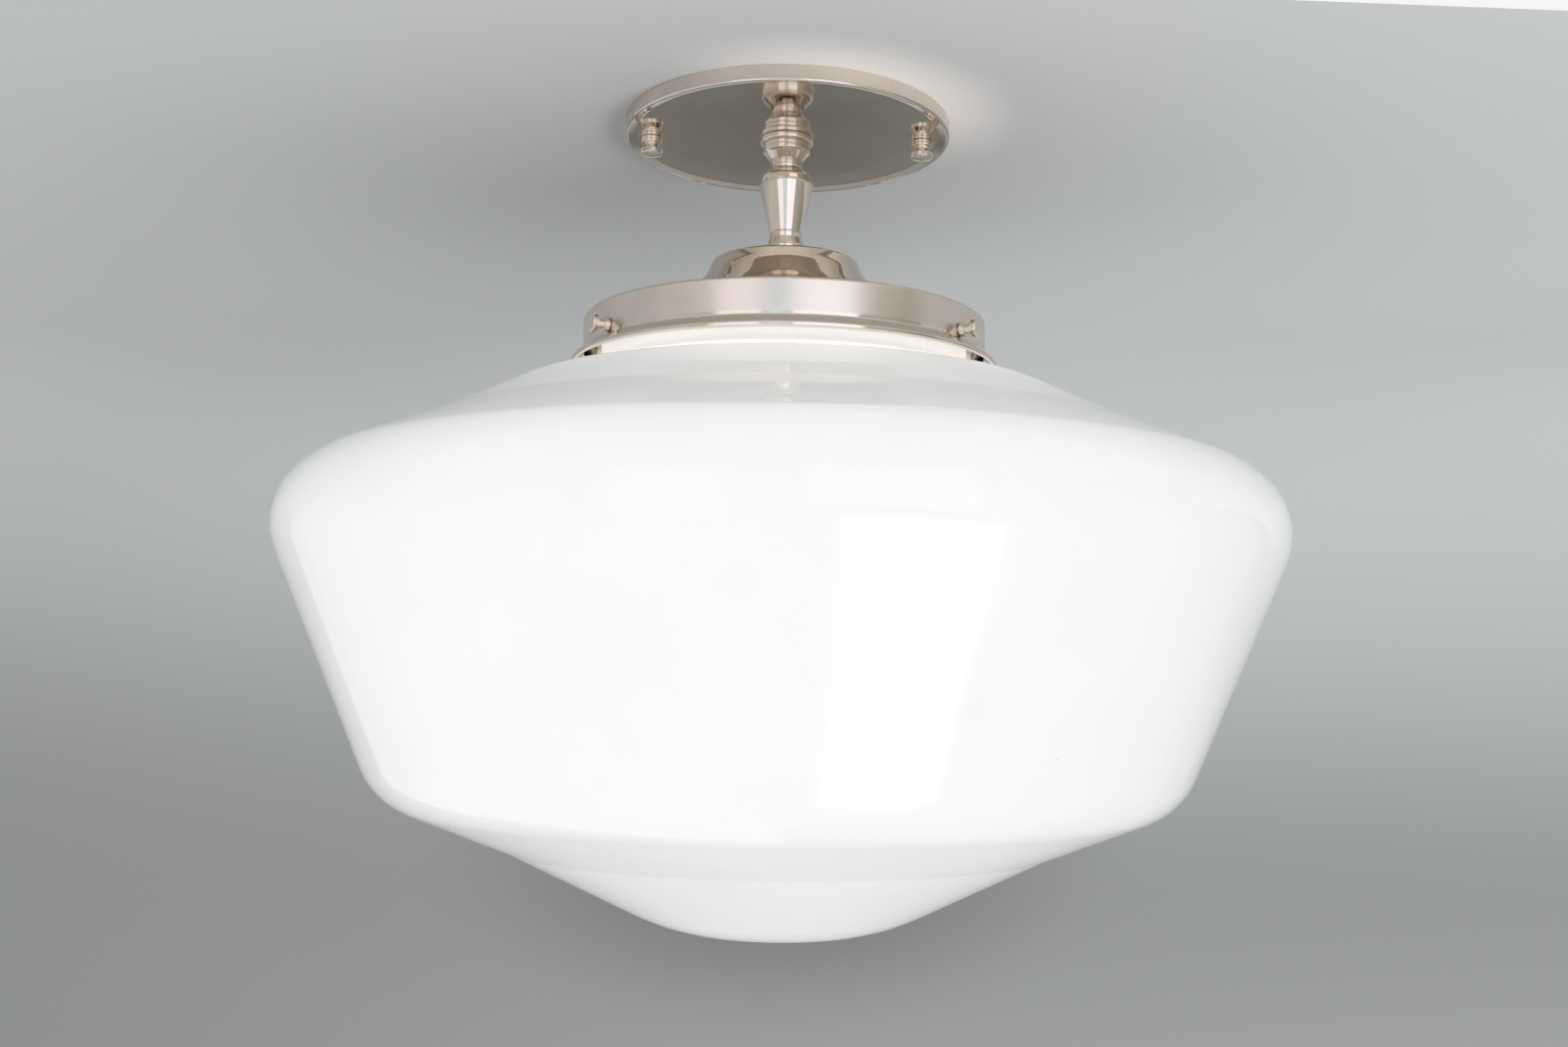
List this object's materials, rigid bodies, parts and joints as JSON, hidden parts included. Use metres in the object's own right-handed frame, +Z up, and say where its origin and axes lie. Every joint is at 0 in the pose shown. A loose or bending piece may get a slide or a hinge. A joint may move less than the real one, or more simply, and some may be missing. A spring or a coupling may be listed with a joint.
{
  "type": "semi flush ceiling light",
  "caption": "Semi flush ceiling light: polished nickel canopy, short turned stem, bell cap and shade holder with thumb screws, carrying a schoolhouse shade of white opal glass.",
  "frame": {"origin": "middle of the crossbar's top face, where it seats on the ears of the outlet box; the ceiling's surface is 6 mm below", "axes": "+Z up along the stem, X along the crossbar and through the canopy nuts, -Y to the front of the picture"},
  "size_m": [0.3712, 0.3712, 0.3248],
  "materials": {
    "polished_nickel": "polished warm nickel plate",
    "opal_glass": "glossy white opal glass",
    "zinc_steel": "zinc plated",
    "green_screw": "green dyed zinc",
    "socket_metal": "nickel plated",
    "porcelain": "white glaze",
    "socket_brass": "stamped brass",
    "frosted_glass": "inside frosted",
    "bulb_aluminium": "rolled shell",
    "black_insulator": "black glass insulator",
    "solder": "dull solder"
  },
  "bodies": {
    "ceiling_mount": {"crossbar": "zinc_steel", "box_screw_left": "zinc_steel", "box_screw_right": "zinc_steel", "stud_left": "zinc_steel", "stud_right": "zinc_steel", "stud_lock_nuts": "zinc_steel", "ground_screw": "green_screw"},
    "fixture": {"canopy": "polished_nickel", "stem_pipe": "zinc_steel", "top_lock_washer": "zinc_steel", "top_hex_nut": "zinc_steel", "check_ring": "polished_nickel", "neck_collar": "polished_nickel", "column": "polished_nickel", "foot_ring": "polished_nickel", "dome_cap": "polished_nickel", "shade_holder": "polished_nickel", "screw_bushings": "polished_nickel", "bottom_lock_washer": "zinc_steel", "bottom_hex_nut": "zinc_steel", "socket_cap": "socket_metal", "socket_body": "porcelain", "terminal_screws": "socket_brass", "screw_shell": "socket_brass", "centre_contact": "socket_brass"},
    "left_nut": {"canopy_nut_left": "polished_nickel"},
    "right_nut": {"canopy_nut_right": "polished_nickel"},
    "shade": {"glass_shade": "opal_glass"},
    "thumb_left": {"thumb_screw_left": "polished_nickel"},
    "thumb_right": {"thumb_screw_right": "polished_nickel"},
    "thumb_back": {"thumb_screw_back": "polished_nickel"},
    "bulb": {"bulb_glass": "frosted_glass", "bulb_cap": "bulb_aluminium", "bulb_insulator": "black_insulator", "bulb_contact": "solder"}
  },
  "joints": [
    {"name": "canopy_drop", "type": "slide", "parent": "ceiling_mount", "child": "fixture", "axis": [0, 0, -1], "range_m": [0, 0.005]},
    {"name": "left_nut_turn", "type": "hinge", "parent": "fixture", "child": "left_nut", "pos_m": [-0.053, 0, -0.0109], "axis": [0, 0, -1], "range_deg": [0, 2300]},
    {"name": "right_nut_turn", "type": "hinge", "parent": "fixture", "child": "right_nut", "pos_m": [0.053, 0, -0.0109], "axis": [0, 0, -1], "range_deg": [0, 2300]},
    {"name": "shade_drop", "type": "slide", "parent": "fixture", "child": "shade", "axis": [0, 0, -1], "range_m": [0, 0.017]},
    {"name": "thumb_left_out", "type": "slide", "parent": "fixture", "child": "thumb_left", "axis": [-0.8192, -0.5736, 0], "range_m": [0, 0.0057]},
    {"name": "thumb_right_out", "type": "slide", "parent": "fixture", "child": "thumb_right", "axis": [0.8192, -0.5736, 0], "range_m": [0, 0.0057]},
    {"name": "thumb_back_out", "type": "slide", "parent": "fixture", "child": "thumb_back", "axis": [0, 1, 0], "range_m": [0, 0.0057]},
    {"name": "bulb_out", "type": "slide", "parent": "fixture", "child": "bulb", "axis": [0, 0, -1], "range_m": [0, 0.023]}
  ],
  "couplings": [
    {"joint": "left_nut_turn", "follows": "canopy_drop", "rad_per_m": 7915.8},
    {"joint": "right_nut_turn", "follows": "canopy_drop", "rad_per_m": 7915.8},
    {"joint": "thumb_left_out", "follows": "shade_drop", "ratio": 0.33},
    {"joint": "thumb_right_out", "follows": "shade_drop", "ratio": 0.33},
    {"joint": "thumb_back_out", "follows": "shade_drop", "ratio": 0.33}
  ]
}
